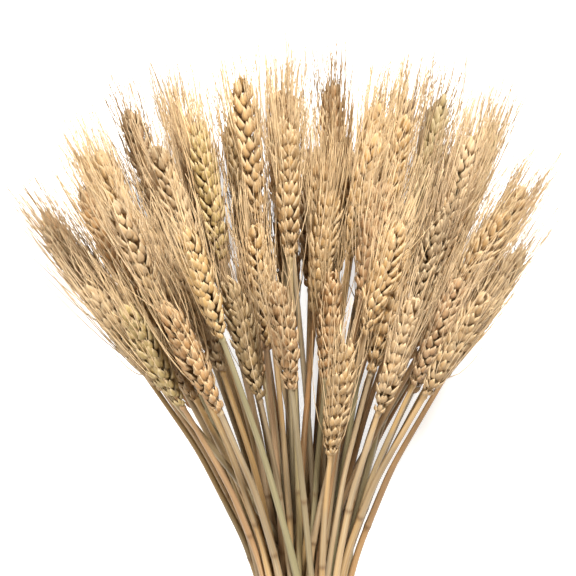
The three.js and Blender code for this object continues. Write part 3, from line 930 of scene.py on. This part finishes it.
def placed_group(tree, name, make, **values):
    """A shared group, built once, as a node with its own values."""
    node = tree.nodes.new("ShaderNodeGroup")
    node.node_tree = bpy.data.node_groups.get(name) or make(name)
    for label, value in values.items():
        feed(tree, node.inputs[label], value)
    return node.outputs


def plant_material(name, across, along, cool, warm, deep, roughness, bump):
    """A dried plant's material, and the parts that its further colours are mixed from."""
    material = bpy.data.materials.new(name)
    material.use_nodes = True
    tree = material.node_tree
    shader = tree.nodes["Principled BSDF"]
    fibre = tree.nodes.new("ShaderNodeAttribute")
    fibre.attribute_name = "fibre"
    tone = tree.nodes.new("ShaderNodeAttribute")
    tone.attribute_name = "tone"
    streak, patches = placed_group(
        tree, "Plant fibre", fibre_group, Fibre=fibre.outputs["Vector"], Tone=tone.outputs["Color"],
        Across=across, Along=along)
    colour, = placed_group(
        tree, "Dried tone", tone_group, Tone=tone.outputs["Color"], Streak=streak, Patches=patches,
        Cool=cool, Warm=warm, Deep=deep)
    feed(tree, shader.inputs["Roughness"], spread(tree, streak, 0, 1, roughness - 0.08, roughness + 0.1))
    shader.inputs["Specular IOR Level"].default_value = 0.35
    relief = tree.nodes.new("ShaderNodeBump")
    relief.inputs["Strength"].default_value = bump
    relief.inputs["Distance"].default_value = 0.15 * MM
    feed(tree, relief.inputs["Height"], streak)
    feed(tree, shader.inputs["Normal"], relief.outputs[0])
    place = parts_of(tree, "XYZ", fibre.outputs["Vector"])
    chance = parts_of(tree, "Color", tone.outputs["Color"])[2]
    own = {"random": chance, "extra": tone.outputs["Alpha"], "streak": streak}
    return material, tree, shader, colour, place, own


def husk_material(sizes):
    """Husks: papery at the edges and the tip, with painted shade at the foot; some greenish, some
    russet, and russet painted shade on the low ears in the middle of the bundle.
    """
    material, tree, shader, colour, place, own = plant_material(
        "Husk", across=3.5, along=1.2, cool=sizes.cream, warm=sizes.golden, deep=HUSK_DEEP,
        roughness=0.6, bump=0.6)
    across = worked_out(tree, "ABSOLUTE", place[0])
    rim, upper = spread(tree, across, 0.6, 1, 0, 1), spread(tree, place[2], 0.15, 0.45, 0, 0.8)
    tip = spread(tree, place[2], 0.72, 1, 0, 0.6)
    edge = worked_out(tree, "MAXIMUM", worked_out(tree, "MULTIPLY", rim, upper), tip)
    colour = mixed(tree, spread(tree, own["extra"], 0.5, 1, 0, 0.5), colour, HUSK_GREEN)
    # Russet: the husks' own colour on some ears, and painted shade on the low ears in the middle of the
    # bundle.
    colour = mixed(tree, spread(tree, own["extra"], 0.5, 0, 0, 0.6), colour, HUSK_RUSSET_AND_SHADE)
    colour = mixed(tree, edge, colour, sizes.edges)
    # Painted shade at the foot of each husk, where it sinks between its neighbours.
    colour = mixed(tree, spread(tree, place[2], 0.05, 0.5, 0.65, 0), colour, HUSK_FOOT_SHADE)
    feed(tree, shader.inputs["Base Color"], colour)
    return material


def awn_material(sizes):
    """Awns: pale and glossy, with painted shade at the root among the husks, and browner at the tip."""
    material, tree, shader, colour, place, _ = plant_material(
        "Awn", across=1.0, along=2.0, cool=AWN_COOL, warm=sizes.pale, deep=AWN_DEEP,
        roughness=0.45, bump=0.15)
    # Painted shade: the awn is painted darker at its root, where it leaves the husks.
    colour = mixed(tree, spread(tree, place[2], 0, 0.5, 0.35, 0), colour, AWN_ROOT_SHADE)
    colour = mixed(tree, spread(tree, place[2], 1.0, 2.6, 0, 0.5), colour, AWN_TIP)
    feed(tree, shader.inputs["Base Color"], colour)
    return material


def straw_material(sizes):
    """Straws: golden to grey, some greenish or russet, with pale streaks and dark joints."""
    material, tree, shader, colour, _, own = plant_material(
        "Straw", across=6.0, along=0.5, cool=sizes.grey, warm=sizes.golden, deep=STRAW_DEEP,
        roughness=0.38, bump=0.35)
    colour = mixed(tree, spread(tree, own["random"], 0.7, 0.95, 0, 0.65), colour, STRAW_GREEN)
    colour = mixed(tree, spread(tree, own["random"], 0.3, 0.05, 0, 0.7), colour, STRAW_RUSSET)
    colour = mixed(tree, spread(tree, own["streak"], 0.55, 1, 0, 0.4), colour, STRAW_PALE)
    joint = worked_out(tree, "MULTIPLY", own["extra"], spread(tree, own["streak"], 0, 1, 0.85, 0.5))
    colour = mixed(tree, joint, colour, STRAW_JOINT)
    feed(tree, shader.inputs["Base Color"], colour)
    return material


def twine_material(sizes):
    material, tree, shader, colour, _, _ = plant_material(
        "Twine", across=4.0, along=3.0, cool=TWINE_COOL, warm=sizes.fibre, deep=TWINE_DEEP,
        roughness=0.8, bump=0.8)
    feed(tree, shader.inputs["Base Color"], colour)
    return material


def floor_material(colour):
    """A dull pale floor that looks a little brighter to the camera than it is."""
    material = bpy.data.materials.new("Floor")
    material.use_nodes = True
    tree = material.node_tree
    shader = tree.nodes["Principled BSDF"]
    feed(tree, shader.inputs["Base Color"], colour)
    shader.inputs["Roughness"].default_value = 0.9
    shader.inputs["Specular IOR Level"].default_value = 0.1
    glow = tree.nodes.new("ShaderNodeEmission")
    feed(tree, glow.inputs["Color"], colour)
    seen = tree.nodes.new("ShaderNodeLightPath").outputs["Is Camera Ray"]
    feed(tree, glow.inputs["Strength"], worked_out(tree, "MULTIPLY", seen, 0.8))
    both = tree.nodes.new("ShaderNodeAddShader")
    feed(tree, both.inputs[0], shader.outputs[0])
    feed(tree, both.inputs[1], glow.outputs[0])
    feed(tree, tree.nodes["Material Output"].inputs["Surface"], both.outputs[0])
    return material


# ---- Pieces ----

FLOOR_PRESS = 1.5 * MM
# The ears given painted shade, darker and browner, lie within this reach.
INNER_REACH = 100 * MM  # of the browner ears, from the bundle's middle out and from the floor up
FLOOR_HALF = 4
LIT_PLACE = (0.01, 0.09, 0.05)
FILL_SHARE = 0.28  # of the main light's power
VIEW_MIDDLE = (1.8 * MM, 71 * MM)
LENS, SENSOR = 120, 36  # in mm


def rest_on_floor(bm):
    """Presses what would sink into the surface flat on it, as a lying ear's own weight does."""
    for vertex in bm.verts:
        if vertex.co.z < FLOOR_PRESS:
            vertex.co.z = FLOOR_PRESS * math.exp(vertex.co.z / FLOOR_PRESS - 1)


def add_piece(bm, name, materials):
    """Makes an object of a finished mesh, smooth all over, with its place in its mesh."""
    mesh = bpy.data.meshes.new(name)
    bm.to_mesh(mesh)
    bm.free()
    for material in materials:
        mesh.materials.append(material)
    mesh.shade_smooth()
    piece = bpy.data.objects.new(name, mesh)
    bpy.context.scene.collection.objects.link(piece)
    return piece


def stalk_tone(chance, place):
    """The look of a stalk with its ear at a place: its light, warmth and colour, and its girth.

    A higher ear is painted lighter and a lower one darker, as painted shade, and the low ears in the
    middle of the bundle get more painted shade, darker and browner.
    """
    height = place[2]
    # How deep the ear lies in the middle of the bundle, for its painted shade.
    inner = max(0, 1 - height / INNER_REACH) * max(0, 1 - abs(place[0]) / INNER_REACH)
    # Painted shade: a higher ear is painted lighter and a lower one darker, and a deep one darker still.
    light = chance.gauss(0.5, 0.15) + 0.5 * (height / EARS_HEIGHT - 0.6) - 0.35 * inner
    warm = within(chance.gauss(0.5, 0.28), 0, 1)
    kind = chance.random()
    green = 0.8 if kind < 0.05 else max(0, chance.gauss(0, 0.08))
    russet = chance.uniform(0.3, 0.85) if kind > 0.8 else 0
    return {
        "light": within(light, 0.02, 0.9), "warm": warm,
        # Painted shade: a deep ear is also painted russet.
        "green": green, "russet": max(russet, min(0.9, 1.3 * inner)),
        "plump": chance.uniform(0.92, 1.04), "girth": chance.uniform(0.92, 1.08),
        "straw_warm": within(chance.gauss(0.5, 0.38), -0.1, 1.2), "seed": chance.random(),
    }


def add_light(name, place, size, power, colour):
    """A square soft light that faces the bundle."""
    data = bpy.data.lights.new(name, "AREA")
    data.size = size
    data.energy = power
    data.color = colour
    light = bpy.data.objects.new(name, data)
    light.location = place
    light.rotation_euler = (Vector(LIT_PLACE) - Vector(place)).to_track_quat("-Z", "Y").to_euler()
    bpy.context.scene.collection.objects.link(light)


def studio_sky():
    """A sky that lights the bundle warmly and looks white itself."""
    world = bpy.data.worlds.new("studio")
    world.use_nodes = True
    tree = world.node_tree
    sky = tree.nodes["Background"]
    seen = tree.nodes.new("ShaderNodeLightPath").outputs["Is Camera Ray"]
    feed(tree, sky.inputs["Color"], mixed(tree, seen, (1, 0.86, 0.70), (1, 1, 1)))
    feed(tree, sky.inputs["Strength"], spread(tree, seen, 0, 1, 0.40, 0.95))
    return world


class GrowStalks(bpy.types.Operator):
    """Grows a fine stalk in the place of every packed one"""

    bl_idname = "wheat.grow_stalks"
    bl_label = "Grow stalks"

    def execute(self, context):
        if not STALK_NODES:
            raise RuntimeError("the frame holds no stalks")
        scene = context.scene
        straw, ears, awns = scene.wheat_straw, scene.wheat_ears, scene.wheat_awns
        materials = (husk_material(ears), awn_material(awns), straw_material(straw))
        shapes = stalk_shapes()
        for number, node in enumerate(STALK_NODES):
            chance = random.Random(STALK_SEED + number)
            bm = bmesh.new()
            for stalk in measured_stalks(node, ears.half_width):
                tone = stalk_tone(chance, stalk["ear"].at(0.5))
                add_straw(bm, shapes["straw"], stalk, straw, tone, chance)
                add_ear(bm, shapes, stalk, ears, awns, tone, chance)
            rest_on_floor(bm)
            piece = add_piece(bm, "wheat_" + node, materials)
            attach(piece, "root")
            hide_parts(node)
        return {"FINISHED"}


class WindTwine(bpy.types.Operator):
    """Winds the twine round the stems"""

    bl_idname = "wheat.wind_twine"
    bl_label = "Wind twine"

    def execute(self, context):
        sizes = context.scene.wheat_twine
        bm = bmesh.new()
        add_twine(bm, sizes, random.Random(TWINE_SEED))
        piece = add_piece(bm, "wound_twine", (twine_material(sizes),))
        piece.data.polygons.foreach_set("material_index", [TWINE] * len(piece.data.polygons))
        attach(piece, "root")
        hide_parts(TIE)
        return {"FINISHED"}


class SetStage(bpy.types.Operator):
    """Lays the floor and sets the lights and the camera"""

    bl_idname = "wheat.set_stage"
    bl_label = "Set stage"

    def execute(self, context):
        scene = context.scene
        sizes = scene.wheat_stage
        bm = bmesh.new()
        bmesh.ops.create_grid(bm, x_segments=1, y_segments=1, size=FLOOR_HALF)
        floor = add_piece(bm, "floor", (floor_material(sizes.floor),))
        add_light("key", (0.3, 0.95, 1.4), 0.38, sizes.light, (1, 1, 0.99))
        add_light("fill", (-0.9, -0.5, 1.2), 1.0, sizes.light * FILL_SHARE, (1, 0.98, 0.95))
        scene.world = studio_sky()
        scene.view_settings.view_transform = "Standard"
        lens = bpy.data.cameras.new("camera")
        lens.lens = LENS
        lens.sensor_width = SENSOR
        camera = bpy.data.objects.new("camera", lens)
        camera.location = (*VIEW_MIDDLE, sizes.camera_height)
        scene.collection.objects.link(camera)
        scene.camera = camera
        return {"FINISHED"}


# ---- Panel and running ----

SETTINGS = (
    ("wheat_straw", StrawSettings),
    ("wheat_ears", EarSettings),
    ("wheat_awns", AwnSettings),
    ("wheat_twine", TwineSettings),
    ("wheat_stage", StageSettings),
)
OPERATORS = (GrowStalks, WindTwine, SetStage)


class WheatPanel(bpy.types.Panel):
    """The sizes, the colours and the steps of the bundle"""

    bl_idname = "VIEW3D_PT_wheat"
    bl_label = "Wheat bundle"
    bl_space_type = "VIEW_3D"
    bl_region_type = "UI"
    bl_category = "Wheat"

    def draw(self, context):
        for label, group in SETTINGS:
            box = self.layout.box()
            for key in group.__annotations__:
                box.prop(getattr(context.scene, label), key)
        for operator in OPERATORS:
            self.layout.operator(operator.bl_idname)


CLASSES = (*[group for _, group in SETTINGS], *OPERATORS, WheatPanel)


def register():
    for kind in CLASSES:
        bpy.utils.register_class(kind)
    for label, group in SETTINGS:
        setattr(bpy.types.Scene, label, bpy.props.PointerProperty(type=group))


def unregister():
    for label, _ in SETTINGS:
        delattr(bpy.types.Scene, label)
    for kind in reversed(CLASSES):
        bpy.utils.unregister_class(kind)


def main():
    register()
    bpy.ops.wheat.grow_stalks()
    bpy.ops.wheat.wind_twine()
    bpy.ops.wheat.set_stage()
    bpy.context.view_layer.update()


if __name__ == "__main__":
    main()
